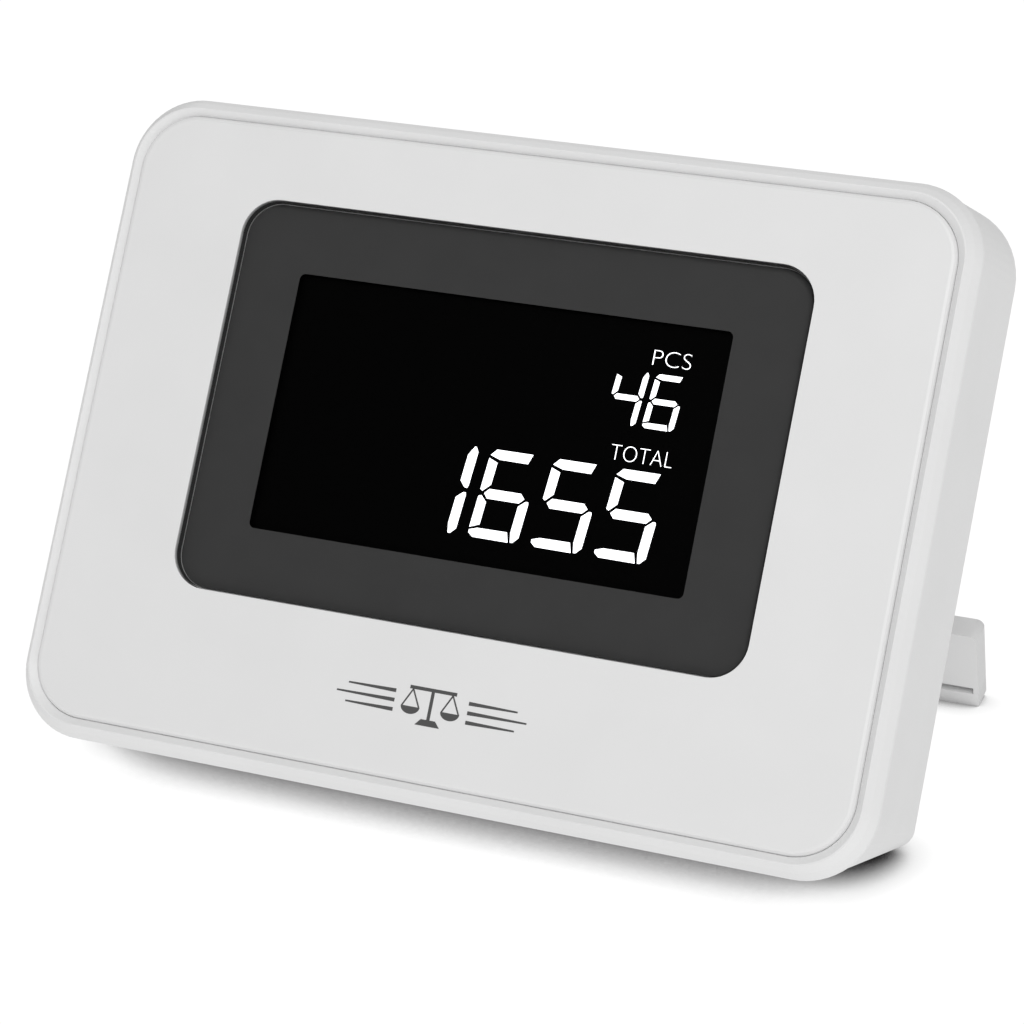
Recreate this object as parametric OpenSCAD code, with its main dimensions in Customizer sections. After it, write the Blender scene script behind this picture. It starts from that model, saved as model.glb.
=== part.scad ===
// Remote display of a counting scale: a wedge-backed desk housing with an LCD window and a fold-out stand.
// Pieces are drawn in the plane of the face (X across, Y up the face, Z out of it) and then stood up.
// Origin: the middle of the space the standing display takes up, on the table.

/* [Housing] */
// Width of the front frame
body_w = 131.6; // [128:0.2:136]
// Height of the front frame, measured up the face
body_h = 97.2; // [95:0.2:100]
// Depth from the front plane to the back
body_d = 32.5; // [31.5:0.1:36]
// Corner radius of the front frame
corner_r = 10.5; // [9:0.5:12]
// Wall thickness of the rear shell
wall = 2.2; // [1.8:0.1:2.4]
// How far the face leans back from upright, in degrees
lean = 30; // [26:0.5:34]

/* [Front] */
// Width of the bevel around the frame
bevel_w = 1.8; // [1.6:0.1:1.9]
// Depth of that bevel
bevel_d = 2.7; // [2.2:0.1:2.9]
// Width of the inset fascia panel
panel_w = 125.8; // [125.2:0.1:126]
// Height of the inset fascia panel
panel_h = 91.3; // [90.8:0.1:91.5]
// Width of the display window
lens_w = 87.9; // [86:0.1:89]
// Height of the display window
lens_h = 57.9; // [56:0.1:59]
// How far the window sits above the middle of the face
lens_y = 5.3; // [4.5:0.1:6]

/* [Display] */
// Width of the visible area of the LCD
view_w = 67.2; // [64:0.1:68]
// Height of the visible area of the LCD
view_h = 38.1; // [36:0.1:39]
// Sideways offset of the visible area
view_x = -0.5; // [-1:0.1:1]

/* [Stand] */
// How far the leg swings out from the back, in degrees
leg_angle = 46.4; // [44:0.1:48]
// Height of the hinge up the back, from the middle of the face
hinge_y = 30; // [29:0.5:31]
// Thickness of the leg
leg_t = 4.4; // [4:0.1:4.6]
// Width of the leg's stem
stem_w = 62; // [56:1:64]
// Width of the foot bar across the leg's end
foot_w = 120; // [112:1:120]
// Height of the foot bar
foot_h = 14.6; // [14:0.2:16]
// Radius of the hinge pin
pin_r = 1; // [0.9:0.05:1.1]

/* [Hidden] */
$fn = 64;
eps = 0.01;
hull_fn = 48;
slice_t = 0.05;

// Front frame: depths are Z values below the front plane
frame_land = 0.8;
frame_back = -(bevel_d + frame_land);
panel_t = 1.35;
panel_gap = 0.05;
panel_seat = -panel_t;
panel_r = 8.5;
panel_round = 0.75;
lip_w = 0.95;
lip_depth = 0.8;
crest_r = corner_r - 1.6;
skirt_in = 3.8;
skirt_t = 1.5;
skirt_end = -6.5;

// Window stack, from the lens down to the board
lens_t = 1.5;
lens_r = 5.2;
lens_gap = 0.25;
lens_top = -0.1;
mask_t = 0.12;
mask_top = lens_top - lens_t;
gasket_top = mask_top - mask_t;
gasket_t = 0.5;
lens_seat = gasket_top - gasket_t;
holder_w = 80;
holder_h = 52;
holder_wall = 1.6;
holder_top = -2.5;
glass_w = 74;
glass_h = 45.5;
glass_t = 0.7;
ledge = 3;
sheet_t = 0.2;
polar_top = -2.6;
front_glass_top = polar_top - sheet_t;
rear_glass_top = front_glass_top - glass_t;
rear_polar_top = rear_glass_top - glass_t;
diffuser_top = rear_polar_top - sheet_t - 0.1;
guide_top = diffuser_top - sheet_t - 0.05;
guide_t = 2.6;
reflector_top = guide_top - guide_t - 0.02;
tray_floor = reflector_top - sheet_t - 0.02;
tray_fit = 0.05;
tray_t = 1;
light_w = glass_w - 2;
light_h = glass_h - 2 * ledge - 1;
contact_t = 2;
strip_len = 68;
strip_y = (glass_h - ledge) / 2;
led_x = glass_w / 2 - 4;
led_pitch = 7;
led_strip_len = 34;
led_strip_t = 0.8;
led_size = [0.75, 3, 1.4];
board_top = -13;
board_t = 1.6;
board_back = board_top - board_t;
board_w = 108;
board_h = 58;
board_y = 7;

// Rear shell
shell_step = 0.15;
shell_front = frame_back;
back_half_w = body_w / 2 - 1.3;
back_top = body_h / 2 + 3.4;
back_bottom = -(body_h / 2 - 7.4);
back_r_top = 11;
back_r_bottom = 2.9;
edge_r = 2.2;
side_edge_r = 3.2;
back_z = -body_d;

// Stand
leg_gap = 0.4;
hinge_z = back_z + leg_t / 2;
recess_floor = back_z + leg_t + leg_gap;
recess_wall = 3;
heel_t = 1.4;
heel_w = 24;
heel_gap = 0.04;
heel_len = (leg_t / 2 + leg_gap - heel_gap + (leg_t / 2 - heel_t) * cos(leg_angle)) / sin(leg_angle);
ear_t = 4;
pin_fit = 0.05;
leg_lean = leg_angle - lean;
bumper_t = 0.8;
bumper_len = 16;
bumper_x = 44;
bumper_y = back_bottom + edge_r;
bumper_z = back_z + edge_r;
// Heights in the standing pose, from the middle of the face
floor_h = bumper_y * cos(lean) + bumper_z * sin(lean) - edge_r - bumper_t;
hinge_h = hinge_y * cos(lean) + hinge_z * sin(lean) - floor_h;
hinge_back = hinge_y * sin(lean) - hinge_z * cos(lean);
leg_len = hinge_h / cos(leg_lean);
toe = leg_t / 2 * tan(leg_lean);
foot_back = hinge_back + hinge_h * tan(leg_lean) + leg_t / 2 / cos(leg_lean);
face_front = -(body_h / 2 - bevel_w) * sin(lean);
mid_y = (face_front + foot_back) / 2;
foot_r = 1.2;
shoulder = 6;
strip_h = 3;
strip_slot = 1.2;
strip_slot_end = 0.8;
strip_r = 1.2;

// Screws and bosses
upper_screw = [56, 40.5];
lower_screw = [48, -28.5];
screw_r = 1.4;
screw_len = 15.5;
head_r = 2.7;
head_h = 1.7;
boss_r = 3.4;
boss_end = -22;
board_screw_places = [[49, board_y + 24.5], [49, board_y - 24.5]];
board_screw_r = 1;
board_screw_len = 8;

// Jack
jack = [48, 12];
jack_w = 13.2;
jack_h = 12;
socket_w = 9.8;
socket_h = 7.4;
socket_depth = 11;
jack_back = back_z + 0.4;
jack_gap = 0.25;

// Rating label on the back, left blank
label_size = [21, 32];
label_at = [-47, 8];
label_t = 0.15;

// ---- building blocks ----

// Stands the face frame up on the table with the given lean
module standing() {
    translate([0, -mid_y, -floor_h])
        rotate([90 - lean, 0, 0])
            children();
}

// Rounded rectangle from straight sides and true arcs
module rounded(w, h, r) {
    square([w - 2 * r, h], center = true);
    square([w, h - 2 * r], center = true);
    for (x = [-1, 1], y = [-1, 1])
        translate([x * (w / 2 - r), y * (h / 2 - r)])
            circle(r);
}

module plate(w, h, r, z, t, at = [0, 0]) {
    translate([at[0], at[1], z - t])
        linear_extrude(t)
            rounded(w, h, r);
}

// Flat ring between two rounded rectangles
module ring(w, h, r, z, t, in_w, in_h, in_r, at = [0, 0], in_at = [0, 0]) {
    difference() {
        plate(w, h, r, z, t, at);
        plate(in_w, in_h, in_r, z + eps, t + 2 * eps, in_at);
    }
}

// Cross-section of the shell at one depth; the lower corners are tighter than the upper ones
module shell_slice(half_w, top, bottom, r_top, r_bottom, z) {
    translate([0, 0, z])
        linear_extrude(slice_t)
            for (x = [-1, 1]) {
                translate([x * (half_w - r_top), top - r_top])
                    circle(r_top, $fn = hull_fn);
                translate([x * (half_w - r_bottom), bottom + r_bottom])
                    circle(r_bottom, $fn = hull_fn);
            }
}

// How far an edge of radius r has curved in at height h above its lowest point
function curved_in(r, h) = h < r ? r - sqrt(r * r - (r - h) * (r - h)) : 0;

// The shell's outside, or its inside when grown inwards by inset
module shell_form(inset, front_z) {
    front_half = body_w / 2 - shell_step - inset;
    front_top = body_h / 2 - shell_step - inset;
    hull() {
        shell_slice(front_half, front_top, -front_top, corner_r - inset, corner_r - inset, front_z - slice_t);
        for (h = [0, 0.2, 0.7, 1.4, edge_r, side_edge_r]) {
            side_in = inset + curved_in(side_edge_r, h);
            bottom_in = inset + curved_in(edge_r, h);
            shell_slice(back_half_w - side_in, back_top - side_in, back_bottom + bottom_in,
                max(back_r_top - side_in, 1), max(back_r_bottom - bottom_in, 1), back_z + inset + h);
        }
    }
}

module at_screws(places) {
    for (p = places, x = [-1, 1])
        translate([x * p[0], p[1], 0])
            children();
}

// Pan-head screw seen from behind: head at z, shank running forward
module screw(z, r, len, head_r, head_h) {
    translate([0, 0, z - eps])
        cylinder(h = len, r = r);
    difference() {
        translate([0, 0, z - head_h])
            cylinder(h = head_h, r1 = head_r * 0.82, r2 = head_r);
        for (a = [0, 90])
            rotate([0, 0, a])
                translate([-head_r * 0.6, -head_r * 0.11, z - head_h - eps])
                    cube([head_r * 1.2, head_r * 0.22, head_h * 0.55]);
    }
}

// ---- front ----

module front_frame() {
    color("whitesmoke")
        standing() {
            difference() {
                hull()
                    for (s = [[0, 0], [0.45, 0.55], [0.93, 0.96], [1, 1]])
                        plate(body_w - 2 * bevel_w * (1 - s[1]), body_h - 2 * bevel_w * (1 - s[1]),
                            crest_r + (corner_r - crest_r) * s[1], -bevel_d * s[0],
                            s[0] == 1 ? frame_land : eps);
                plate(panel_w + 2 * panel_gap, panel_h + 2 * panel_gap, panel_r + panel_gap,
                    1, 1 - panel_seat);
                // Sloping inner side of the rim
                hull()
                    for (s = [0, 2])
                        plate(panel_w + 2 * (panel_gap + s * lip_w), panel_h + 2 * (panel_gap + s * lip_w),
                            panel_r + panel_gap + s * (crest_r + 0.2 - panel_r - panel_gap),
                            lip_depth * (s - 1) + eps, eps);
                plate(lens_w + 2 * lens_gap, lens_h + 2 * lens_gap, lens_r + lens_gap,
                    1, 1 - lens_seat, [0, lens_y]);
                plate(holder_w + 0.6, holder_h + 0.6, 1.3, 1, 1 - frame_back + eps, [0, lens_y]);
            }
            ring(body_w - 2 * skirt_in, body_h - 2 * skirt_in, corner_r - skirt_in,
                frame_back + eps, frame_back - skirt_end + eps,
                body_w - 2 * (skirt_in + skirt_t), body_h - 2 * (skirt_in + skirt_t),
                corner_r - skirt_in - skirt_t);
            at_screws([upper_screw, lower_screw])
                screw_post(boss_end, boss_r, screw_r + 0.05);
            at_screws(board_screw_places)
                screw_post(board_top, 2.8, board_screw_r + 0.05);
        }
}

// Tubular post under the frame's floor
module screw_post(end_z, r, bore_r) {
    difference() {
        translate([0, 0, end_z])
            cylinder(h = frame_back - end_z + eps, r = r);
        translate([0, 0, end_z - eps])
            cylinder(h = frame_back - end_z, r = bore_r);
    }
}

// Inset panel around the window, with a rounded outer edge
module fascia_panel() {
    color("gainsboro")
        standing()
            difference() {
                hull()
                    for (a = [0, 30, 60, 90]) {
                        in = panel_round * (1 - cos(a));
                        top = -panel_round * (1 - sin(a));
                        plate(panel_w - 2 * in, panel_h - 2 * in, panel_r - in, top,
                            a == 0 ? panel_t - panel_round - 0.02 : slice_t);
                    }
                plate(lens_w + 2 * lens_gap, lens_h + 2 * lens_gap, lens_r + lens_gap, 1, 2 + panel_t,
                    [0, lens_y]);
            }
}

module window_lens() {
    color("dimgray", 0.5)
        standing()
            plate(lens_w, lens_h, lens_r, lens_top, lens_t, [0, lens_y]);
}

module lens_mask() {
    color("dimgray")
        standing()
            ring(lens_w - 0.2, lens_h - 0.2, lens_r - 0.1, mask_top, mask_t,
                view_w, view_h, 0.9, [0, lens_y], [view_x, lens_y]);
}

module lens_gasket() {
    color("black")
        standing()
            ring(lens_w - 0.6, lens_h - 0.6, lens_r - 0.3, gasket_top, gasket_t,
                holder_w + 1.6, holder_h + 1.6, 1.8, [0, lens_y], [0, lens_y]);
}

// ---- display module ----

// Tray that carries the LCD and its backlight, with slots for the contact strips
module lcd_holder() {
    color("white")
        standing()
            difference() {
                plate(holder_w, holder_h, 1, holder_top, holder_top - board_top, [0, lens_y]);
                tray_pocket(glass_w, glass_h, rear_glass_top);
                tray_pocket(glass_w, glass_h - 2 * ledge, rear_polar_top);
                tray_pocket(light_w, light_h, tray_floor);
                for (y = [-1, 1])
                    translate([0, lens_y + y * strip_y, board_top])
                        cube([strip_len + 2 * tray_fit, contact_t + 2 * tray_fit, 4 * body_d], center = true);
                plate(light_w, light_h - 1, 0.5, tray_floor - tray_t, body_d, [0, lens_y]);
            }
}

// Space for a w by h sheet, from the front of the tray down to z
module tray_pocket(w, h, z) {
    plate(w + 2 * tray_fit, h + 2 * tray_fit, 0.4, 1, 1 - z, [0, lens_y]);
}

module front_polariser() {
    color("black")
        standing()
            plate(glass_w - 3, glass_h - 4, 0.5, polar_top, sheet_t, [0, lens_y]);
}

module lcd_front_glass() {
    color("lightsteelblue")
        standing()
            plate(glass_w, glass_h, 0.4, front_glass_top, glass_t, [0, lens_y]);
}

// Shorter than the front glass at top and bottom, which bares the contact ledges
module lcd_rear_glass() {
    color("lightsteelblue")
        standing()
            plate(glass_w, glass_h - 2 * ledge, 0.4, rear_glass_top, glass_t, [0, lens_y]);
}

module rear_polariser() {
    color("dimgray")
        standing()
            plate(glass_w - 3, light_h, 0.5, rear_polar_top, sheet_t, [0, lens_y]);
}

module diffuser_sheet() {
    color("white")
        standing()
            plate(glass_w - 4, light_h - 0.6, 0.5, diffuser_top, sheet_t, [-1, lens_y]);
}

module light_guide() {
    color("azure")
        standing()
            plate(glass_w - 6, light_h - 0.6, 0.5, guide_top, guide_t, [-2, lens_y]);
}

module reflector_sheet() {
    color("white")
        standing()
            plate(glass_w - 6, light_h - 0.6, 0.5, reflector_top, sheet_t, [-2, lens_y]);
}

module led_strip_board() {
    color("green")
        standing()
            translate([led_x, lens_y - led_strip_len / 2, tray_floor])
                cube([led_strip_t, led_strip_len, guide_t]);
}

module backlight_leds() {
    color("lemonchiffon")
        standing()
            for (i = [-2:2])
                translate([led_x - led_size[0], lens_y + i * led_pitch - led_size[1] / 2, reflector_top + 0.6])
                    cube(led_size);
}

// Elastomer strips that join the glass's contact ledges to the board
module contact_strips() {
    color("hotpink")
        standing()
            for (y = [-1, 1])
                translate([-strip_len / 2, lens_y + y * strip_y - contact_t / 2, board_top])
                    cube([strip_len, contact_t, rear_glass_top - board_top]);
}

// ---- electronics ----

module main_board() {
    color("darkgreen")
        standing()
            difference() {
                plate(board_w, board_h, 2, board_top, board_t, [0, board_y]);
                at_screws(board_screw_places)
                    translate([0, 0, board_back - 1])
                        cylinder(h = board_t + 2, r = board_screw_r + 0.2);
            }
}

// Flat package with gull-wing legs on two sides, standing on the board's rear face
module chip(at, w, h, t, pins) {
    pitch = h / pins;
    pin_len = 1.1;
    pin_t = 0.5;
    lift = 0.15;
    translate([at[0], at[1], board_back]) {
        translate([-w / 2, -h / 2, -t])
            cube([w, h, t - lift]);
        for (i = [0:pins - 1], x = [-1, 1])
            translate([x * (w + pin_len - 0.1) / 2 - pin_len / 2, -h / 2 + (i + 0.3) * pitch, -pin_t])
                cube([pin_len, 0.4 * pitch, pin_t]);
    }
}

module controller_chip() {
    color("black")
        standing()
            chip([-14, 8], 10, 14, 1.7, 12);
}

module display_driver_chip() {
    color("black")
        standing()
            chip([12, 8], 7.5, 18, 1.8, 16);
}

module voltage_regulator() {
    color("black")
        standing()
            chip([28, -8], 6.5, 3.6, 1.6, 3);
}

module clock_crystal() {
    color("silver")
        standing()
            plate(4.6, 11, 2.2, board_back, 3.5, [-28, 8]);
}

// Row of n small blocks on the board's rear face
module block_row(n, from, pitch, size) {
    for (i = [0:n - 1])
        translate([from[0] + i * pitch, from[1], board_back - size[2]])
            cube(size);
}

// Two electrolytic cans and a row of ceramic blocks
module capacitors() {
    can_h = 7;
    can_r = 3.1;
    color("slategray")
        standing() {
            for (y = [-8, -16])
                translate([40, y, board_back - can_h])
                    cylinder(h = can_h, r = can_r);
            block_row(6, [-24, 28], 8, [2, 1.25, 0.9]);
        }
}

module resistors() {
    color("dimgray")
        standing()
            block_row(8, [-26, -14], 6.5, [1.6, 0.8, 0.55]);
}

// Modular socket that stands on the board and looks out through the back
module modular_jack() {
    keyway_w = 4.4;
    color("black")
        standing()
            translate([jack[0], jack[1], 0])
                difference() {
                    translate([-jack_w / 2, -jack_h / 2, jack_back])
                        cube([jack_w, jack_h, board_back - jack_back]);
                    translate([-socket_w / 2, -socket_h / 2, jack_back - 1])
                        cube([socket_w, socket_h, socket_depth + 1]);
                    translate([-keyway_w / 2, -socket_h / 2 - 1.6, jack_back - 1])
                        cube([keyway_w, 2, socket_depth + 1]);
                }
}

module jack_contacts() {
    color("gold")
        standing()
            for (i = [-1.5:1.5])
                translate([jack[0] + i * 1.27 - 0.25, jack[1] + socket_h / 2 - 1.3, jack_back + 2.5])
                    cube([0.5, 0.5, socket_depth - 2.5]);
}

module board_screws() {
    color("silver")
        standing()
            at_screws(board_screw_places)
                screw(board_back, board_screw_r, board_screw_len, 2, 1.3);
}

// ---- rear ----

// Outline of the stand below its hinge, grown by gap all round; sloping shoulders join the stem to the bar.
// extra lengthens the bar downwards
module stand_outline(gap, end, extra = 0) {
    stem_half = stem_w / 2 + gap;
    bar_top = end + foot_h;
    slope_gap = gap * (sqrt(2) - 1);
    translate([0, end + (foot_h - extra) / 2])
        rounded(foot_w + 2 * gap, foot_h + extra + 2 * gap, foot_r + gap);
    polygon([
        [-stem_half, 0],
        [-stem_half, bar_top + shoulder + slope_gap],
        [-stem_w / 2 - shoulder - gap - slope_gap, bar_top - gap],
        [stem_w / 2 + shoulder + gap + slope_gap, bar_top - gap],
        [stem_half, bar_top + shoulder + slope_gap],
        [stem_half, 0]]);
}

// Outline of the recess that the stand folds into, with room above the hinge for the heel
module recess_outline(gap) {
    translate([0, hinge_y])
        stand_outline(gap, -leg_len, toe);
    translate([-stem_w / 2 - gap, hinge_y - eps])
        square([stem_w + 2 * gap, norm([heel_len, leg_t / 2]) + gap]);
}

module rear_shell() {
    color("lightgray")
        standing()
            difference() {
                union() {
                    difference() {
                        shell_form(0, shell_front);
                        shell_form(wall, shell_front + 1);
                    }
                    intersection() {
                        shell_form(0, shell_front);
                        shell_insides();
                    }
                }
                translate([0, 0, back_z - 1])
                    linear_extrude(recess_floor - back_z + 1)
                        recess_outline(leg_gap);
                translate([-(stem_w / 2 + leg_gap + ear_t + 1), hinge_y, hinge_z])
                    rotate([0, 90, 0])
                        cylinder(h = stem_w + 2 * (leg_gap + ear_t + 1), r = pin_r);
                at_screws([upper_screw]) {
                    translate([0, 0, back_z - 1])
                        cylinder(h = 4, r = head_r + 0.4);
                    translate([0, 0, back_z])
                        cylinder(h = body_d, r = screw_r + 0.3);
                }
                at_screws([lower_screw]) {
                    translate([0, 0, recess_floor - 1])
                        cylinder(h = 3, r = head_r + 0.4);
                    translate([0, 0, recess_floor])
                        cylinder(h = body_d, r = screw_r + 0.3);
                }
                translate([jack[0], jack[1], back_z + wall / 2])
                    cube([jack_w + 2 * jack_gap, jack_h + 2 * jack_gap, 4 * wall], center = true);
                plate(label_size[0] + 0.4, label_size[1] + 0.4, 1.4, back_z + 0.2, 1, label_at);
                bumper_form(0.02);
            }
}

// Recess walls, hinge ears and screw bosses on the inside of the shell
module shell_insides() {
    translate([0, 0, back_z])
        linear_extrude(recess_floor + wall - back_z)
            recess_outline(leg_gap + recess_wall);
    for (x = [-1, 1])
        translate([x * (stem_w / 2 + leg_gap + ear_t / 2), hinge_y, back_z + (leg_t + 3) / 2])
            cube([ear_t, leg_t + 5, leg_t + 3], center = true);
    at_screws([upper_screw, lower_screw])
        translate([0, 0, back_z])
            cylinder(h = boss_end - back_z - 0.1, r = head_r + 1.7);
}

// Curved rubber strips let into the lower rear edge, which the display stands on
module bumper_form(gap) {
    intersection() {
        for (x = [-1, 1])
            translate([x * bumper_x, bumper_y, bumper_z])
                rotate([0, 90, 0])
                    difference() {
                        cylinder(h = bumper_len + 2 * gap, r = edge_r + bumper_t, center = true);
                        cylinder(h = bumper_len + 2, r = edge_r - bumper_t - gap, center = true);
                    }
        translate([0, bumper_y, bumper_z])
            rotate([15, 0, 0])
                translate([-body_w / 2, -2 * edge_r, -2 * edge_r])
                    cube([body_w, 2 * edge_r, 2 * edge_r]);
    }
}

module base_bumpers() {
    color("gray")
        standing()
            bumper_form(0);
}

module case_screws() {
    color("silver")
        standing() {
            at_screws([upper_screw])
                screw(back_z + 3, screw_r, screw_len, head_r, head_h);
            at_screws([lower_screw])
                screw(recess_floor + 2, screw_r, screw_len, head_r, head_h);
        }
}

module rating_label() {
    color("silver")
        standing()
            plate(label_size[0], label_size[1], 1.2, back_z + 0.2, label_t, label_at);
}

// ---- stand ----

module hinge_pin() {
    color("silver")
        standing()
            translate([-(stem_w / 2 + leg_gap + ear_t), hinge_y, hinge_z])
                rotate([0, 90, 0])
                    cylinder(h = stem_w + 2 * (leg_gap + ear_t), r = pin_r);
}

// Swings a piece drawn in the stowed position out to where it stands
module swung_out() {
    standing()
        translate([0, hinge_y, hinge_z])
            rotate([leg_angle, 0, 0])
                children();
}

module stand_leg() {
    border = 1.5;
    skin = 1.8;
    end = -leg_len;
    pocket_low = end + foot_h;
    pocket_high = -leg_t - 2;
    color("gainsboro")
        swung_out()
            difference() {
                union() {
                    rotate([0, 90, 0])
                        cylinder(h = stem_w, r = leg_t / 2, center = true);
                    translate([0, 0, -leg_t / 2])
                        linear_extrude(leg_t)
                            stand_outline(0, end);
                    translate([-heel_w / 2, 0, -leg_t / 2])
                        cube([heel_w, heel_len, heel_t]);
                }
                // Stem pockets on either side of the middle rib, open towards the housing
                for (x = [-1, 1])
                    translate([x * stem_w / 4, (pocket_low + pocket_high) / 2, leg_t / 2])
                        linear_extrude(2 * (leg_t - skin), center = true)
                            rounded(stem_w / 2 - 2 * border, pocket_high - pocket_low, 2);
                // Slot above the rubber strip
                translate([-foot_w / 2 + strip_slot_end, end + strip_h, leg_t / 2 - 1.2])
                    cube([foot_w - 2 * strip_slot_end, strip_slot, 2]);
                translate([-foot_w, end - 2, -leg_t])
                    cube([2 * foot_w, strip_h + 2, 2 * leg_t]);
                rotate([0, 90, 0])
                    cylinder(h = stem_w + 2, r = pin_r + pin_fit, center = true);
            }
}

// Rubber edge of the foot bar, cut level with the table
module foot_strip() {
    color("darkgray")
        swung_out()
            intersection() {
                translate([0, 0, -leg_t / 2])
                    linear_extrude(leg_t)
                        difference() {
                            translate([0, -leg_len + (foot_h - toe) / 2])
                                rounded(foot_w, foot_h + toe, strip_r);
                            translate([-foot_w, -leg_len + strip_h])
                                square([2 * foot_w, foot_h]);
                        }
                translate([0, -leg_len, 0])
                    rotate([-leg_lean, 0, 0])
                        translate([-foot_w, 0, -2 * leg_t])
                            cube([2 * foot_w, 2 * foot_h, 4 * leg_t]);
            }
}

front_frame();
fascia_panel();
window_lens();
lens_mask();
lens_gasket();
lcd_holder();
front_polariser();
lcd_front_glass();
lcd_rear_glass();
rear_polariser();
diffuser_sheet();
light_guide();
reflector_sheet();
led_strip_board();
backlight_leds();
contact_strips();
main_board();
controller_chip();
display_driver_chip();
voltage_regulator();
clock_crystal();
capacitors();
resistors();
modular_jack();
jack_contacts();
board_screws();
rear_shell();
base_bumpers();
case_screws();
rating_label();
hinge_pin();
stand_leg();
foot_strip();
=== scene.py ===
import math
import bpy
import bmesh
from mathutils import Matrix, Vector


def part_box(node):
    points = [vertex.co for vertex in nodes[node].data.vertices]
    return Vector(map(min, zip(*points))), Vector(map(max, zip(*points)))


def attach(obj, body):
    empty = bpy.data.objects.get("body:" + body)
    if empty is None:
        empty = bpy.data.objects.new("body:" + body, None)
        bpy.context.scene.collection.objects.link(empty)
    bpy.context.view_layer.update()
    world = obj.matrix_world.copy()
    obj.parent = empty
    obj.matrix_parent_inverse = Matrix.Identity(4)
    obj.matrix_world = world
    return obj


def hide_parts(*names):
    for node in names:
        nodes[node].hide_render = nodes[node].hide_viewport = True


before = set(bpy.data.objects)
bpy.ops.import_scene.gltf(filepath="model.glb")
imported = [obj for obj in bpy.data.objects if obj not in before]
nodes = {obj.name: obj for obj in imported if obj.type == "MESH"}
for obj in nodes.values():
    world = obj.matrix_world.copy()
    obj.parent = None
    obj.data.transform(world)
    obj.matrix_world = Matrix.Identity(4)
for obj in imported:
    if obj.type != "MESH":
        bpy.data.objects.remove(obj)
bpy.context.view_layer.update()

mm = 0.001

# ---- the leaning face: everything on the front is drawn flat, in millimetres, and laid on it ----

face = {"lean": 30, "lensThickness": 1.5, "lensSink": 0.1}
leanAngle = math.radians(face["lean"])
upFace = Vector((0, math.sin(leanAngle), math.cos(leanAngle)))
outFace = Vector((0, -math.cos(leanAngle), math.sin(leanAngle)))


def middleOf(node):
    low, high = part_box(node)
    return (low + high) / 2


# middle of the window, on the front plane of the frame
windowMiddle = middleOf("window_lens") + outFace * (face["lensThickness"] / 2 + face["lensSink"]) * mm
faceFrame = Matrix.Identity(4)
for column, direction in enumerate((Vector((1, 0, 0)), upFace, outFace)):
    faceFrame.col[column][:3] = direction
faceFrame.translation = windowMiddle


def onFace(x, y, z=0.0):
    return faceFrame @ Vector((x * mm, y * mm, z * mm))


# ---- camera ----

# fromWindow is the camera's place in mm, counted from the middle of the window
view = {"azimuth": 22.875, "elevation": 22.333, "lens": 115.9, "sensorWidth": 36, "nearest": 0.01,
        "fromWindow": (173.34, -401.12, 166.94)}


def makeCamera(settings):
    turn, tilt = math.radians(settings["azimuth"]), math.radians(settings["elevation"])
    forward = Vector((-math.sin(turn) * math.cos(tilt), math.cos(turn) * math.cos(tilt),
                      -math.sin(tilt)))
    data = bpy.data.cameras.new("studioCamera")
    data.lens = settings["lens"]
    data.sensor_width = settings["sensorWidth"]
    data.clip_start = settings["nearest"]
    camera = bpy.data.objects.new("studioCamera", data)
    camera.location = windowMiddle + Vector(settings["fromWindow"]) * mm
    camera.rotation_mode = "QUATERNION"
    camera.rotation_quaternion = forward.to_track_quat("-Z", "Y")
    bpy.context.scene.collection.objects.link(camera)
    bpy.context.scene.camera = camera


makeCamera(view)
print("stage: camera set")

# ---- material helpers ----

noiseLow, noiseHigh = 0.3, 0.7      # nearly all noise values lie between these two
roughSpread = 0.05                  # how far a relief moves the roughness up and down


def linearColour(hexText):
    channels = [int(hexText[i:i + 2], 16) / 255 for i in (1, 3, 5)]
    straight = [c / 12.92 if c <= 0.04045 else ((c + 0.055) / 1.055) ** 2.4 for c in channels]
    return (*straight, 1.0)


def addNode(tree, kind, settings=None, links=None):
    # settings: a property name or an input's name or number; links: input -> output socket
    node = tree.nodes.new(kind)
    for key, value in (settings or {}).items():
        if isinstance(key, int) or key in node.inputs:
            node.inputs[key].default_value = value
        else:
            setattr(node, key, value)
    for key, socket in (links or {}).items():
        tree.links.new(socket, node.inputs[key])
    return node


def newMaterial(name, **surface):
    material = bpy.data.materials.new(name)
    material.use_nodes = True
    tree = material.node_tree
    tree.nodes.clear()
    inputs = {key.replace("_", " "): value for key, value in surface.items()}
    shader = addNode(tree, "ShaderNodeBsdfPrincipled", inputs)
    addNode(tree, "ShaderNodeOutputMaterial", links={"Surface": shader.outputs["BSDF"]})
    return material, tree, shader


def placeOn(tree):
    # a point of the piece itself, so that a pattern moves with the piece
    return addNode(tree, "ShaderNodeTexCoord").outputs["Object"]


def perMetre(sizeMm):
    # the pattern scale whose lumps are about sizeMm across
    return 1 / (sizeMm * mm)


def tintedNoise(tree, shader, hexText, spread, sizeMm):
    # the base colour, a little darker and lighter in patches sizeMm across
    base = linearColour(hexText)
    noise = addNode(tree, "ShaderNodeTexNoise", {"Scale": perMetre(sizeMm), "Detail": 3.0},
                    {"Vector": placeOn(tree)})
    ramp = addNode(tree, "ShaderNodeValToRGB", links={"Fac": noise.outputs["Fac"]})
    for element, factor in zip(ramp.color_ramp.elements, (1 - spread, 1 + spread)):
        element.color = (*[min(c * factor, 1.0) for c in base[:3]], 1.0)
    ramp.color_ramp.elements[0].position = noiseLow
    ramp.color_ramp.elements[1].position = noiseHigh
    tree.links.new(ramp.outputs["Color"], shader.inputs["Base Color"])


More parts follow.
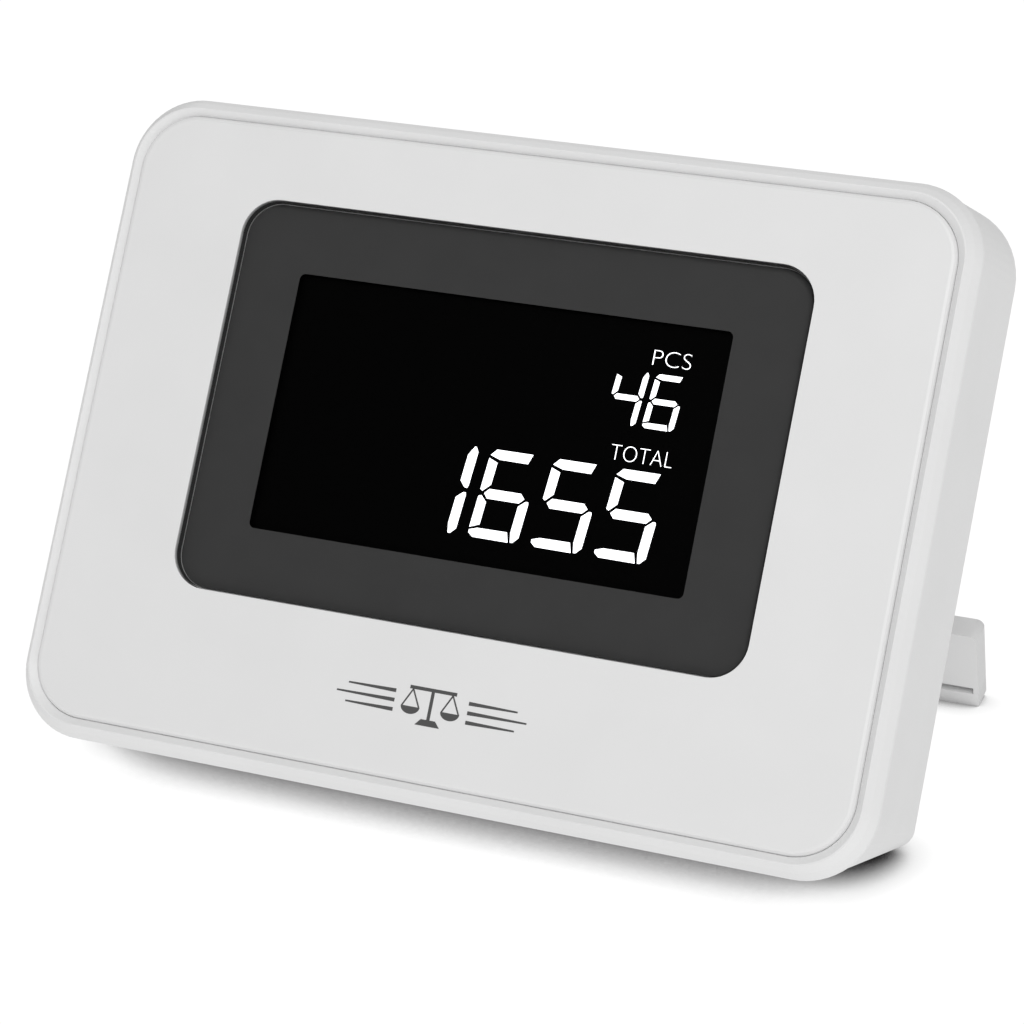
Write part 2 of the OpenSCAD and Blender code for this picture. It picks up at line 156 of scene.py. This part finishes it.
def grain(tree, shader, sizeMm, heightMm, roughness, spread=roughSpread):
    # fine relief with the roughness following it
    noise = addNode(tree, "ShaderNodeTexNoise",
                    {"Scale": perMetre(sizeMm), "Detail": 4.0, "Roughness": 0.6},
                    {"Vector": placeOn(tree)})
    bump = addNode(tree, "ShaderNodeBump", {"Distance": heightMm * mm, "Strength": 1.0},
                   {"Height": noise.outputs["Fac"]})
    tree.links.new(bump.outputs["Normal"], shader.inputs["Normal"])
    span = addNode(tree, "ShaderNodeMapRange",
                   {"From Min": noiseLow, "From Max": noiseHigh, "To Min": roughness - spread,
                    "To Max": roughness + spread}, {"Value": noise.outputs["Fac"]})
    tree.links.new(span.outputs["Result"], shader.inputs["Roughness"])


# ---- materials ----

absColours = {"frame": "#DEDEDE", "panel": "#DCDCDC", "shell": "#DCDCDC", "leg": "#CFCFCF"}
absDrift = {"tint": 0.012, "patchMm": 14}


def mouldedAbs(name, hexText, grainMm, heightMm, roughness):
    # ABS moulded in a spark-eroded tool: an even, slightly pebbled satin that kills sharp reflections
    material, tree, shader = newMaterial(name, IOR=1.54)
    tintedNoise(tree, shader, hexText, absDrift["tint"], absDrift["patchMm"])
    grain(tree, shader, grainMm, heightMm, roughness)
    return material


frameAbs = mouldedAbs("satinMouldedAbsFrame", absColours["frame"], grainMm=0.5, heightMm=0.004,
                      roughness=0.42)
panelAbs = mouldedAbs("fineMattAbsPanel", absColours["panel"], grainMm=0.35, heightMm=0.005,
                      roughness=0.5)
# the real erosion grain is about 0.1 mm; it is drawn at 0.5 mm so that it still shows
shellAbs = mouldedAbs("sparkErodedAbsShell", absColours["shell"], grainMm=0.5, heightMm=0.012,
                      roughness=0.5)
legAbs = mouldedAbs("sparkErodedAbsLeg", absColours["leg"], grainMm=0.5, heightMm=0.012,
                    roughness=0.52)

hardCoat = {"body": "#0A0A0A", "edgeBlend": 0.35, "sheenFrom": 0.15, "sheenTo": 0.9, "mostSheen": 0.7,
            "grainMm": 0.3, "heightMm": 0.0005, "roughness": 0.16, "spread": 0.03}


def hardCoatedAcrylic():
    # clear acrylic with an anti-glare hard coat: the ink behind it stays deep, and a sheen shows only
    # edge-on
    material, tree, shader = newMaterial("hardCoatedAcrylic", IOR=1.49)
    shader.inputs["Base Color"].default_value = linearColour(hardCoat["body"])
    edgeOn = addNode(tree, "ShaderNodeLayerWeight", {"Blend": hardCoat["edgeBlend"]})
    sheen = addNode(tree, "ShaderNodeMapRange",
                    {"From Min": hardCoat["sheenFrom"], "From Max": hardCoat["sheenTo"], "To Min": 0.0,
                     "To Max": hardCoat["mostSheen"]}, {"Value": edgeOn.outputs["Facing"]})
    tree.links.new(sheen.outputs["Result"], shader.inputs["Alpha"])
    grain(tree, shader, hardCoat["grainMm"], hardCoat["heightMm"], hardCoat["roughness"],
          hardCoat["spread"])
    return material


smallPatchMm = 6                    # how far a tint drifts on the small pieces


def plain(name, hexText, roughness, spread=0.06, grainMm=0.4, heightMm=0.003, **surface):
    # any small moulded or printed piece: a tint that drifts and a light relief
    material, tree, shader = newMaterial(name, **surface)
    tintedNoise(tree, shader, hexText, spread, smallPatchMm)
    grain(tree, shader, grainMm, heightMm, roughness)
    return material


segmentGlow = {"cool": "#F4F8FF", "white": "#FFFFFF", "patchMm": 9, "strength": 1.25}


def litSegment():
    # liquid-crystal segments with the backlight behind them: an even white with no shading
    material, tree, shader = newMaterial("litLcdSegment", Roughness=0.6)
    shader.inputs["Base Color"].default_value = linearColour(segmentGlow["white"])
    noise = addNode(tree, "ShaderNodeTexNoise", {"Scale": perMetre(segmentGlow["patchMm"])},
                    {"Vector": placeOn(tree)})
    glow = addNode(tree, "ShaderNodeValToRGB", links={"Fac": noise.outputs["Fac"]})
    glow.color_ramp.elements[0].color = linearColour(segmentGlow["cool"])
    glow.color_ramp.elements[1].color = linearColour(segmentGlow["white"])
    tree.links.new(glow.outputs["Color"], shader.inputs["Emission Color"])
    shader.inputs["Emission Strength"].default_value = segmentGlow["strength"]
    return material


trackGrid = {"mask": "#0B4A22", "maskPaler": "#0E5228", "track": "#1C7A3E", "pitchMm": 1.0,
             "trackWidth": 0.12, "length": 3.0, "row": 1.2, "reliefMm": 0.03}


def solderMask():
    # glass-fibre laminate under green solder mask: tracks show as a paler grid under the glossy green
    material, tree, shader = newMaterial("solderMaskLaminate", IOR=1.55, Roughness=0.25)
    bricks = addNode(tree, "ShaderNodeTexBrick",
                     {"Scale": perMetre(trackGrid["pitchMm"]), "Mortar Size": trackGrid["trackWidth"],
                      "Brick Width": trackGrid["length"], "Row Height": trackGrid["row"],
                      "Color1": linearColour(trackGrid["mask"]),
                      "Color2": linearColour(trackGrid["maskPaler"]),
                      "Mortar": linearColour(trackGrid["track"])}, {"Vector": placeOn(tree)})
    tree.links.new(bricks.outputs["Color"], shader.inputs["Base Color"])
    bump = addNode(tree, "ShaderNodeBump", {"Distance": trackGrid["reliefMm"] * mm},
                   {"Height": bricks.outputs["Fac"]})
    tree.links.new(bump.outputs["Normal"], shader.inputs["Normal"])
    return material


drawing = {"tint": 0.05, "patchMm": 3, "stretch": 12.0, "smoother": 0.08, "rougher": 0.1}


def drawnMetal(name, hexText, roughness, scratchMm):
    # plated metal with fine drawing lines: a soft streaked shine
    material, tree, shader = newMaterial(name, Metallic=1.0)
    tintedNoise(tree, shader, hexText, drawing["tint"], drawing["patchMm"])
    across = drawing["stretch"]
    stretch = addNode(tree, "ShaderNodeMapping", {"Scale": (1.0, across, across)},
                      {"Vector": placeOn(tree)})
    noise = addNode(tree, "ShaderNodeTexNoise", {"Scale": perMetre(scratchMm * across), "Detail": 4.0},
                    {"Vector": stretch.outputs["Vector"]})
    span = addNode(tree, "ShaderNodeMapRange",
                   {"To Min": roughness - drawing["smoother"], "To Max": roughness + drawing["rougher"]},
                   {"Value": noise.outputs["Fac"]})
    tree.links.new(span.outputs["Result"], shader.inputs["Roughness"])
    return material


acrylic = hardCoatedAcrylic()
maskInk = plain("backPrintedInk", "#3D3D3D", 0.45, spread=0.03, grainMm=0.3, heightMm=0.001,
                Specular_IOR_Level=0.05)
foam = plain("blackFoamTape", "#0B0B0B", 0.95, spread=0.3, grainMm=0.3, heightMm=0.05)
polariser = plain("polarisingFilm", "#020202", 0.4, spread=0.02, heightMm=0.0005,
                  Specular_IOR_Level=0.02)
whitePlastic = plain("whiteMouldedPlastic", "#EDEDE8", 0.45)
whiteFilm = plain("mattDiffuserFilm", "#F2F2F2", 0.7, grainMm=0.2)
clearSlab = plain("clearAcrylicSlab", "#F5FAFF", 0.12, Transmission_Weight=0.9, IOR=1.49)
displayGlass = plain("displayGlass", "#DDE6E4", 0.05, Transmission_Weight=0.9, IOR=1.52)
laminate = solderMask()
phosphor = plain("ledPhosphor", "#F2E36B", 0.4)
siliconeStrip = plain("layeredSilicone", "#D97C88", 0.6, grainMm=0.2, heightMm=0.02)
epoxy = plain("mouldedEpoxy", "#161616", 0.55, grainMm=0.2, heightMm=0.01)
platedSteel = drawnMetal("zincPlatedSteel", "#B9B8B2", 0.35, 0.15)
canAluminium = drawnMetal("sleevedAluminium", "#6F7A86", 0.4, 0.2)
goldContact = drawnMetal("goldPlatedBronze", "#D8A94A", 0.25, 0.1)
jackNylon = plain("mouldedNylon", "#1A1A1A", 0.4, grainMm=0.25, heightMm=0.006)
rubber = plain("mouldedRubber", "#8E8E8E", 0.8, spread=0.08, grainMm=0.35, heightMm=0.02)
lightRubber = plain("lightMouldedRubber", "#CFCFCF", 0.7, spread=0.03, grainMm=0.35, heightMm=0.01)
polyester = plain("brushedPolyesterLabel", "#BEBEC0", 0.35, spread=0.02, grainMm=0.25, heightMm=0.002,
                  Metallic=0.35)
printInk = plain("screenPrintInk", "#474747", 0.5, spread=0.04, grainMm=0.2, heightMm=0.002)
litWhite = litSegment()

nodeMaterials = {
    "front_frame": frameAbs, "fascia_panel": panelAbs, "window_lens": acrylic, "lens_mask": maskInk,
    "lens_gasket": foam, "lcd_holder": whitePlastic, "front_polariser": polariser,
    "rear_polariser": polariser, "lcd_front_glass": displayGlass, "lcd_rear_glass": displayGlass,
    "diffuser_sheet": whiteFilm,
    "light_guide": clearSlab, "reflector_sheet": whiteFilm, "led_strip_board": laminate,
    "backlight_leds": phosphor, "contact_strips": siliconeStrip, "main_board": laminate,
    "controller_chip": epoxy, "display_driver_chip": epoxy, "voltage_regulator": epoxy,
    "clock_crystal": platedSteel, "capacitors": canAluminium, "resistors": epoxy,
    "modular_jack": jackNylon, "jack_contacts": goldContact, "board_screws": platedSteel,
    "rear_shell": shellAbs, "base_bumpers": rubber, "case_screws": platedSteel,
    "rating_label": polyester, "hinge_pin": platedSteel, "stand_leg": legAbs, "foot_strip": lightRubber}

for name, material in nodeMaterials.items():
    nodes[name].data.materials.clear()
    nodes[name].data.materials.append(material)
print("stage: materials on", len(nodeMaterials), "CAD nodes")

# moulded pieces have no sharp edges: radii in mm, and how the rounding is cut
edgeRadii = {"stand_leg": 0.45, "foot_strip": 0.4, "modular_jack": 0.2, "base_bumpers": 0.3}
rounding = {"segments": 3, "sharperThan": 35, "weldMm": 0.002}


def softenEdges(node, radiusMm):
    weld = node.modifiers.new("weld", "WELD")
    weld.merge_threshold = rounding["weldMm"] * mm
    bevel = node.modifiers.new("arris", "BEVEL")
    bevel.width = radiusMm * mm
    bevel.segments = rounding["segments"]
    bevel.limit_method = "ANGLE"
    bevel.angle_limit = math.radians(rounding["sharperThan"])
    bevel.harden_normals = True


for name, radius in edgeRadii.items():
    softenEdges(nodes[name], radius)

# ---- pieces ----


def addPiece(name, mesh, material, body):
    piece = bpy.data.objects.new(name, mesh)
    bpy.context.scene.collection.objects.link(piece)
    mesh.materials.append(material)
    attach(piece, body)
    return piece


def platesMesh(name, plates):
    # each plate is closed, through outlines of one length that each lie at their own depth, top first
    sheet = bmesh.new()
    for layers in plates:
        rings = [[sheet.verts.new(onFace(x, y, depth)) for x, y in outline] for outline, depth in layers]
        sheet.faces.new(rings[0])
        sheet.faces.new(rings[-1][::-1])
        for upper, lower in zip(rings, rings[1:]):
            for i in range(len(upper)):
                j = (i + 1) % len(upper)
                sheet.faces.new((upper[i], lower[i], lower[j], upper[j]))
    bmesh.ops.recalc_face_normals(sheet, faces=sheet.faces)
    mesh = bpy.data.meshes.new(name)
    sheet.to_mesh(mesh)
    sheet.free()
    return mesh


def flatPlates(name, outlines, depth, thickness):
    return platesMesh(name, [[(outline, depth), (outline, depth - thickness)] for outline in outlines])


def roundedOutline(width, height, radius, steps=24):
    outline = []
    for quarter, (sx, sy) in enumerate(((1, 1), (-1, 1), (-1, -1), (1, -1))):
        for i in range(steps + 1):
            a = math.pi / 2 * (quarter + i / steps)
            outline.append((sx * (width / 2 - radius) + radius * math.cos(a),
                            sy * (height / 2 - radius) + radius * math.sin(a)))
    return outline


# the window with its diamond-cut edge; it stays clear of the ink behind it
lens = {"width": 87.9, "height": 57.9, "radius": 5.2, "top": -0.1, "bottom": -1.57, "chamfer": 0.18,
        "sharperThan": 30}


def lensMesh(shape):
    cut = shape["chamfer"]
    full = roundedOutline(shape["width"], shape["height"], shape["radius"])
    inner = roundedOutline(shape["width"] - 2 * cut, shape["height"] - 2 * cut, shape["radius"] - cut)
    mesh = platesMesh("window_with_cut_edge", [[(inner, shape["top"]), (full, shape["top"] - cut),
                                                (full, shape["bottom"])]])
    mesh.shade_smooth()
    mesh.set_sharp_from_angle(angle=math.radians(shape["sharperThan"]))
    return mesh


cutWindow = addPiece("window_with_cut_edge", lensMesh(lens), acrylic, "housing")
# the ink runs round the upright sides, which are the last faces, so no light leaks in there
cutWindow.data.materials.append(maskInk)
uprightSides = (len(cutWindow.data.polygons) - 2) // 2
for polygon in cutWindow.data.polygons[-uprightSides:]:
    polygon.material_index = 1
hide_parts("window_lens")
print("stage: window cut")

# the two numbers on the display; digits are right-aligned and lean to the right
digits = {"slant": 0.095, "widthToHeight": 0.6, "depth": -2.5, "thickness": 0.05,
          "rows": {"count": {"text": "46", "height": 7.9, "right": 27.1, "bottom": 3.95,
                             "pitch": 5.7, "bar": 0.106, "gap": 0.07},
                   "total": {"text": "1655", "height": 12.95, "right": 26.95, "bottom": -15.1,
                             "pitch": 9.62, "bar": 0.113, "gap": 0.08}}}
segmentsLit = {"0": "abcdef", "1": "bc", "2": "abged", "3": "abgcd", "4": "fgbc", "5": "afgcd",
               "6": "afgcde", "7": "abc", "8": "abcdefg", "9": "abfgcd"}


def segmentOutlines(height, bar):
    # seven mitred bars in a box of width w and height h whose lower left corner is 0, 0; m is the
    # middle height and s the width of a bar, and every corner is given in these
    w, m, h, s = height * digits["widthToHeight"], height / 2, height, height * bar
    return {
        "a": [(0, h - 0.64 * s), (0.54 * s, h), (w - 0.88 * s, h), (w - 1.18 * s, h - s),
              (1.1 * s, h - s)],
        "b": [(w - s, h - 0.9 * s), (w - 0.5 * s, h), (w - 0.33 * s, h), (w, h - 0.5 * s),
              (w, m + 0.45 * s), (w - 0.1 * s, m + 0.17 * s), (w - 0.4 * s, m + 0.22 * s),
              (w - s, m + 0.83 * s)],
        "c": [(w - s, m - 0.75 * s), (w - 0.35 * s, m - 0.17 * s), (w - 0.08 * s, m - 0.17 * s),
              (w, m - 0.4 * s), (w, 0.54 * s), (w - 0.5 * s, 0), (w - 0.76 * s, 0), (w - s, 0.95 * s)],
        "d": [(0, 0.7 * s), (0.1 * s, 0.75 * s), (0.8 * s, s), (w - 1.28 * s, s), (w - 0.92 * s, 0),
              (0.54 * s, 0), (0.04 * s, 0.4 * s)],
        "e": [(0, m - 0.3 * s), (0.3 * s, m - 0.17 * s), (s, m - 0.8 * s), (s, 1.28 * s),
              (0, 0.9 * s)],
        "f": [(0, h - 0.88 * s), (s, h - 1.25 * s), (s, m + 0.87 * s), (0.26 * s, m + 0.15 * s),
              (0, m + 0.3 * s)],
        "g": [(0.47 * s, m), (0.9 * s, m + s / 2), (w - s, m + s / 2), (w - 0.5 * s, m),
              (w - 0.96 * s, m - s / 2), (0.9 * s, m - s / 2)]}


def drawnIn(outline, gap):
    # corners pulled towards the middle, which leaves a dark gap between neighbouring bars
    middle = Vector((sum(x for x, y in outline), sum(y for x, y in outline))) / len(outline)
    return [tuple(corner - (corner - middle).normalized() * gap) for corner in map(Vector, outline)]


def numberOutlines(row, slant):
    outlines = []
    shapes = segmentOutlines(row["height"], row["bar"])
    width = row["height"] * digits["widthToHeight"]
    for fromRight, digit in enumerate(reversed(row["text"])):
        left = row["right"] - width - fromRight * row["pitch"]
        for segment in segmentsLit[digit]:
            outlines.append([(left + x + slant * (y - row["height"] / 2), row["bottom"] + y)
                             for x, y in drawnIn(shapes[segment], row["gap"])])
    return outlines


for rowName, row in digits["rows"].items():
    plates = flatPlates(rowName + "_digits", numberOutlines(row, digits["slant"]), digits["depth"],
                        digits["thickness"])
    addPiece(rowName + "_digits", plates, litWhite, "housing")

# the two generic words above them, each with its left end, right end and foot line
words = {"capHeight": 2.2, "thinner": 0.028,
         "entries": {"pieces_word": ("PCS", 21.8, 27.5, 13.0),
                     "total_word": ("TOTAL", 18.3, 27.5, -1.1)}}


def wordMesh(name, text, left, right, bottom):
    curve = bpy.data.curves.new(name, "FONT")
    curve.body = text
    curve.extrude = 0.01                # any depth will do, since it is stretched to size below
    curve.offset = -words["thinner"]
    holder = bpy.data.objects.new(name, curve)
    bpy.context.scene.collection.objects.link(holder)
    bpy.context.view_layer.update()
    shown = holder.evaluated_get(bpy.context.evaluated_depsgraph_get())
    mesh = bpy.data.meshes.new_from_object(shown)
    bpy.data.objects.remove(holder)
    xs, ys, zs = zip(*(v.co for v in mesh.vertices))
    for v in mesh.vertices:
        x = left + (v.co.x - min(xs)) / (max(xs) - min(xs)) * (right - left)
        y = bottom + (v.co.y - min(ys)) / (max(ys) - min(ys)) * words["capHeight"]
        z = digits["depth"] - (max(zs) - v.co.z) / (max(zs) - min(zs)) * digits["thickness"]
        v.co = onFace(x, y, z)
    mesh.materials.clear()
    return mesh


for name, entry in words["entries"].items():
    addPiece(name, wordMesh(name, *entry), litWhite, "housing")
print("stage: display drawn")

# a plain balance between thin bars, printed below the window
mark = {"middle": (0.1, -39.9), "height": 5.8, "line": 0.5, "depth": 0.02, "thickness": 0.03,
        "balanceWidth": 8.4, "beamInset": 0.6, "beamDrop": 0.9, "footHeight": 0.9, "footHalf": 1.9,
        "footTopHalf": 1.1, "panRadius": 1.45, "panFlat": 0.75, "panHeight": -0.5, "panOut": 0.3,
        "cordInset": 0.15, "cordHalf": 0.13, "barFrom": 5.6, "barTo": 14.6, "barTaper": 1.6,
        "barHalf": 0.275, "barTipHalf": 0.12, "barRows": (-1.35, 0.0, 1.35)}


def box(left, low, right, high):
    return [(left, low), (right, low), (right, high), (left, high)]


def panOutlines(m, panX):
    # a shallow half-round pan and the two cords that hold it
    radius, panY, half = m["panRadius"], m["panHeight"], m["cordHalf"]
    beam = m["height"] / 2 - m["beamDrop"]
    steps = [math.pi * i / 16 for i in range(17)]
    shapes = [[(panX - radius * math.cos(a), panY - m["panFlat"] * radius * math.sin(a)) for a in steps]]
    for lean in (-1, 1):
        foot = panX + lean * (radius - m["cordInset"])
        shapes.append([(foot - half, panY), (foot + half, panY), (panX + half, beam),
                       (panX - half, beam)][::lean])
    return shapes


def markOutlines(m):
    line, half, top = m["line"], m["balanceWidth"] / 2, m["height"] / 2
    beam, wide, narrow = top - m["beamDrop"], m["footHalf"], m["footTopHalf"]
    footTop = m["footHeight"] - top
    shapes = [box(-line / 2, footTop, line / 2, beam),                                       # post
              [(-wide, -top), (wide, -top), (narrow, footTop), (-narrow, footTop)],          # foot
              box(m["beamInset"] - half, beam, half - m["beamInset"], beam + line)]          # beam
    for side in (-1, 1):
        shapes += panOutlines(m, side * (half - m["panRadius"] + m["panOut"]))
        for i, y in enumerate(m["barRows"]):
            end = m["barTo"] - m["barTaper"] * abs(i - 1)
            shapes.append([(side * m["barFrom"], y - m["barHalf"]), (side * end, y - m["barTipHalf"]),
                           (side * end, y + m["barTipHalf"]), (side * m["barFrom"], y + m["barHalf"])])
    middleX, middleY = m["middle"]
    return [[(middleX + x, middleY + y) for x, y in shape] for shape in shapes]


addPiece("printed_balance_mark", flatPlates("printed_balance_mark", markOutlines(mark), mark["depth"],
                                            mark["thickness"]), printInk, "housing")
print("stage: mark printed")

# ---- floor, lights, world ----

# paintedShades: painted contact shadows on the floor's glow, each with its reach and its ramp from dark
# to white
studio = {"floorSize": 6.0, "floorGlow": 1.03, "sky": 0.45, "shadeSamples": 20,
          "paintedShades": ({"reachMm": 6.0,
                      "stops": ((0.22, "#1C1A1B"), (0.62, "#ECECEC"), (0.92, "#FFFFFF"))},
                     {"reachMm": 80.0, "stops": ((0.02, "#6A6869"), (0.2, "#FFFFFF"))}),
          "key": {"azimuth": 30, "elevation": 43, "distance": 1.4, "size": 0.8, "watts": 10.5},
          "backFill": {"azimuth": 205, "elevation": 38, "distance": 1.6, "size": 1.2, "watts": 2.5}}


def makeFloor():
    # an evenly glowing white table that no lamp lights: painted shade darkens its glow where something
    # stands close to it, and a wider painted shade darkens it where something overhangs it
    half = studio["floorSize"] / 2
    corners = [(-half, -half, 0), (half, -half, 0), (half, half, 0), (-half, half, 0)]
    mesh = bpy.data.meshes.new("studioFloor")
    mesh.from_pydata(corners, [], [(0, 1, 2, 3)])
    floor = bpy.data.objects.new("studioFloor", mesh)
    bpy.context.scene.collection.objects.link(floor)
    material, tree, shader = newMaterial("glowingTableWithPaintedShade", Roughness=1.0, Specular_IOR_Level=0.0)
    shader.inputs["Base Color"].default_value = (0, 0, 0, 1)
    layers = []
    for shade in studio["paintedShades"]:
        # painted shade: how near other things stand sets how dark the glow is, not a shadow cast by the
        # lamps
        paintedShadeNearness = addNode(tree, "ShaderNodeAmbientOcclusion",
                           {"Distance": shade["reachMm"] * mm, "samples": studio["shadeSamples"]})
        ramp = addNode(tree, "ShaderNodeValToRGB", links={"Fac": paintedShadeNearness.outputs["AO"]})
        stops = ramp.color_ramp.elements
        while len(stops) < len(shade["stops"]):
            stops.new(0.5)              # moved to its place in the next lines
        for stop, (position, colour) in zip(stops, shade["stops"]):
            stop.position = position
            stop.color = linearColour(colour)
        layers.append(ramp.outputs["Color"])
    bothPaintedShades = addNode(tree, "ShaderNodeMixRGB", {"blend_type": "MULTIPLY", "Fac": 1.0},
                   {"Color1": layers[0], "Color2": layers[1]})
    tree.links.new(bothPaintedShades.outputs["Color"], shader.inputs["Emission Color"])
    shader.inputs["Emission Strength"].default_value = studio["floorGlow"]
    mesh.materials.append(material)


def areaLight(name, azimuth, elevation, distance, size, watts):
    # a soft box that looks at the window from the given side
    turn, tilt = math.radians(azimuth), math.radians(elevation)
    away = Vector((math.sin(turn) * math.cos(tilt), -math.cos(turn) * math.cos(tilt), math.sin(tilt)))
    data = bpy.data.lights.new(name, "AREA")
    data.shape = "DISK"
    data.size = size
    data.energy = watts
    light = bpy.data.objects.new(name, data)
    light.location = windowMiddle + away * distance
    light.rotation_mode = "QUATERNION"
    light.rotation_quaternion = (-away).to_track_quat("-Z", "Y")
    bpy.context.scene.collection.objects.link(light)


makeFloor()
areaLight("keySoftBox", **studio["key"])
areaLight("backFillSoftBox", **studio["backFill"])

world = bpy.data.worlds.new("paleStudio")
world.use_nodes = True
world.node_tree.nodes.clear()
background = addNode(world.node_tree, "ShaderNodeBackground",
                     {"Color": (1, 1, 1, 1), "Strength": studio["sky"]})
addNode(world.node_tree, "ShaderNodeOutputWorld", links={"Surface": background.outputs["Background"]})
bpy.context.scene.world = world
bpy.context.scene.view_settings.view_transform = "Standard"
print("stage: studio lit")
